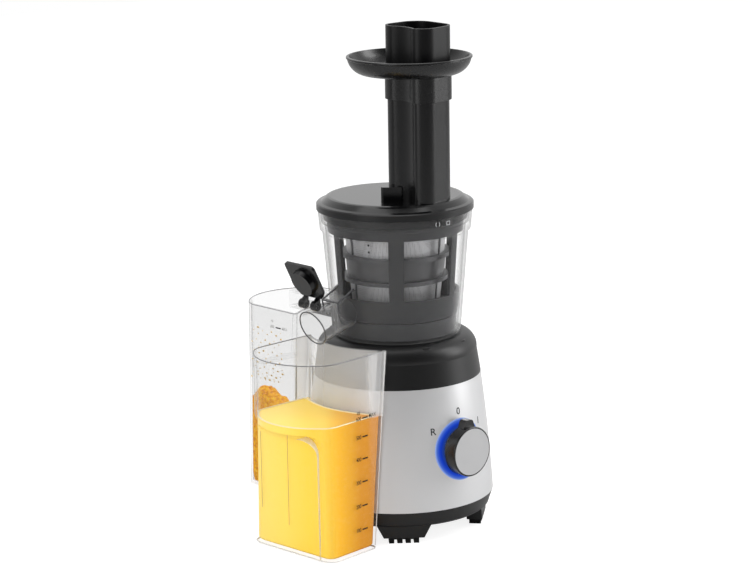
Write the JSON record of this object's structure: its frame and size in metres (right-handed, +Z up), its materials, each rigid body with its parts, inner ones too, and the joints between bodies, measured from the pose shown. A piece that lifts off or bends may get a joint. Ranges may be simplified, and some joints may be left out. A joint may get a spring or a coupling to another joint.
{
  "type": "cold press juicer",
  "caption": "Cold press juicer: round motor base with a turning knob, clear bowl with auger, strainer and wiper, feed chute with tray and pusher, juice jug and pulp container.",
  "frame": {"origin": "on the floor, under the middle of the whole set's bounding box", "axes": "+Z up; the knob faces -Y; the juice spout and the jug are on the -X side; the pulp outlet and its container are on the +Y side"},
  "size_m": [0.2084, 0.258, 0.3893],
  "materials": {
    "bottom_pan": "black moulded plastic",
    "rubber_feet": "soft black rubber",
    "tie_screws": "zinc plated steel",
    "base_shell": "satin silver",
    "light_ring": "translucent ring lit blue",
    "cord_gland": "black rubber",
    "top_cover": "black plastic, soft gloss",
    "motor_end_bell": "glass filled plastic",
    "motor_can": "zinc plated steel",
    "motor_stator": "stacked electrical steel",
    "motor_windings": "enamelled copper",
    "motor_bearings": "bearing steel",
    "motor_screws": "zinc plated steel",
    "gearbox_case": "glass filled plastic",
    "gearbox_lid": "glass filled plastic",
    "gear_pins": "ground steel",
    "drive_bearings": "bearing steel",
    "bearing_spacer": "plain aluminium",
    "shaft_seal": "black lip seal",
    "control_board": "green circuit board with its parts",
    "rotary_switch": "black switch body",
    "safety_switch": "black switch body",
    "interlock_spring": "spring steel",
    "knob": "black plastic",
    "knob_disc": "dark grey face",
    "switch_shaft": "brass shaft with its rotor",
    "motor_rotor": "laminated steel on a steel shaft",
    "cooling_fan": "black moulded fan",
    "motor_pinion": "cut brass",
    "first_gear": "white acetal",
    "second_gear": "white acetal",
    "drive_shaft": "ground stainless steel",
    "output_gear": "white acetal",
    "bowl_plunger": "black acetal",
    "bowl": "clear plastic",
    "bowl_insert": "dark grey plastic",
    "bowl_seal": "dark silicone",
    "idler_pin": "stainless steel",
    "strainer_frame": "grey plastic",
    "strainer_sieve": "perforated stainless steel",
    "auger": "dark grey plastic",
    "idler_gear": "dark acetal",
    "wiper_frame": "dark grey plastic",
    "wiper_blades": "dark silicone",
    "spout_cap": "dark grey plastic",
    "lid": "black plastic",
    "feed_tray": "black plastic",
    "pusher": "black plastic",
    "juice_jug": "clear plastic",
    "pulp_container": "clear plastic"
  },
  "bodies": {
    "base": {"bottom_pan": "bottom_pan", "rubber_feet": "rubber_feet", "tie_screws": "tie_screws", "base_shell": "base_shell", "light_ring": "light_ring", "cord_gland": "cord_gland", "top_cover": "top_cover", "motor_end_bell": "motor_end_bell", "motor_can": "motor_can", "motor_stator": "motor_stator", "motor_windings": "motor_windings", "motor_bearings": "motor_bearings", "motor_screws": "motor_screws", "gearbox_case": "gearbox_case", "gearbox_lid": "gearbox_lid", "gear_pins": "gear_pins", "drive_bearings": "drive_bearings", "bearing_spacer": "bearing_spacer", "shaft_seal": "shaft_seal", "control_board": "control_board", "rotary_switch": "rotary_switch", "safety_switch": "safety_switch", "interlock_spring": "interlock_spring"},
    "knob": {"knob": "knob", "knob_disc": "knob_disc", "switch_shaft": "switch_shaft"},
    "motor": {"motor_rotor": "motor_rotor", "cooling_fan": "cooling_fan", "motor_pinion": "motor_pinion"},
    "first_gear": {"first_gear": "first_gear"},
    "second_gear": {"second_gear": "second_gear"},
    "drive": {"drive_shaft": "drive_shaft", "output_gear": "output_gear"},
    "plunger": {"bowl_plunger": "bowl_plunger"},
    "bowl": {"bowl": "bowl", "bowl_insert": "bowl_insert", "bowl_seal": "bowl_seal", "idler_pin": "idler_pin", "strainer_frame": "strainer_frame", "strainer_sieve": "strainer_sieve"},
    "auger": {"auger": "auger"},
    "idler": {"idler_gear": "idler_gear"},
    "wiper": {"wiper_frame": "wiper_frame", "wiper_blades": "wiper_blades"},
    "spout_cap": {"spout_cap": "spout_cap"},
    "lid": {"lid": "lid"},
    "tray": {"feed_tray": "feed_tray"},
    "pusher": {"pusher": "pusher"},
    "juice_jug": {"juice_jug": "juice_jug"},
    "pulp_container": {"pulp_container": "pulp_container"}
  },
  "joints": [
    {"name": "knob_turn", "type": "hinge", "parent": "base", "child": "knob", "pos_m": [0.03069, -0.123, 0.07], "axis": [0, -1, 0], "range_deg": [-55, 55]},
    {"name": "drive_spin", "type": "hinge", "parent": "base", "child": "drive", "pos_m": [0.03069, -0.047, 0.12], "axis": [0, 0, 1], "continuous": true},
    {"name": "second_gear_spin", "type": "hinge", "parent": "base", "child": "second_gear", "pos_m": [0.06819, -0.047, 0.105], "axis": [0, 0, 1], "continuous": true},
    {"name": "first_gear_spin", "type": "hinge", "parent": "base", "child": "first_gear", "pos_m": [0.04622, -0.03894, 0.1], "axis": [0, 0, 1], "continuous": true},
    {"name": "motor_spin", "type": "hinge", "parent": "base", "child": "motor", "pos_m": [0.03069, -0.047, 0.06], "axis": [0, 0, 1], "continuous": true},
    {"name": "bowl_lift", "type": "slide", "parent": "base", "child": "bowl", "axis": [0, 0, 1], "range_m": [0, 0.06]},
    {"name": "plunger_rise", "type": "slide", "parent": "base", "child": "plunger", "axis": [0, 0, 1], "range_m": [0, 0.003], "deforming": ["interlock_spring"]},
    {"name": "auger_spin", "type": "hinge", "parent": "bowl", "child": "auger", "pos_m": [0.03069, -0.047, 0.2], "axis": [0, 0, 1], "continuous": true},
    {"name": "idler_spin", "type": "hinge", "parent": "bowl", "child": "idler", "pos_m": [0.03069, -0.072, 0.169], "axis": [0, 0, 1], "continuous": true},
    {"name": "wiper_spin", "type": "hinge", "parent": "bowl", "child": "wiper", "pos_m": [0.03069, -0.047, 0.2], "axis": [0, 0, 1], "continuous": true},
    {"name": "cap_hinge", "type": "hinge", "parent": "bowl", "child": "spout_cap", "pos_m": [-0.05768, -0.047, 0.18617], "axis": [0, -1, 0], "range_deg": [0, 173]},
    {"name": "lid_turn", "type": "hinge", "parent": "bowl", "child": "lid", "pos_m": [0.03069, -0.047, 0.25], "axis": [0, 0, 1], "range_deg": [0, 30]},
    {"name": "tray_lift", "type": "slide", "parent": "lid", "child": "tray", "axis": [0, 0, 1], "range_m": [0, 0.05]},
    {"name": "pusher_slide", "type": "slide", "parent": "tray", "child": "pusher", "axis": [0, 0, 1], "range_m": [0, 0.13]},
    {"name": "jug_slide", "type": "slide", "parent": "base", "child": "juice_jug", "axis": [-1, 0, 0], "range_m": [0, 0.12]},
    {"name": "container_slide", "type": "slide", "parent": "base", "child": "pulp_container", "axis": [0, 1, 0], "range_m": [0, 0.12]}
  ],
  "couplings": [
    {"joint": "second_gear_spin", "follows": "drive_spin", "ratio": -4},
    {"joint": "first_gear_spin", "follows": "drive_spin", "ratio": 13.333},
    {"joint": "motor_spin", "follows": "drive_spin", "ratio": -53.333},
    {"joint": "auger_spin", "follows": "drive_spin", "ratio": 1},
    {"joint": "idler_spin", "follows": "drive_spin", "ratio": -1.5},
    {"joint": "wiper_spin", "follows": "drive_spin", "ratio": -0.42857},
    {"joint": "plunger_rise", "follows": "bowl_lift", "ratio": 0.05}
  ]
}
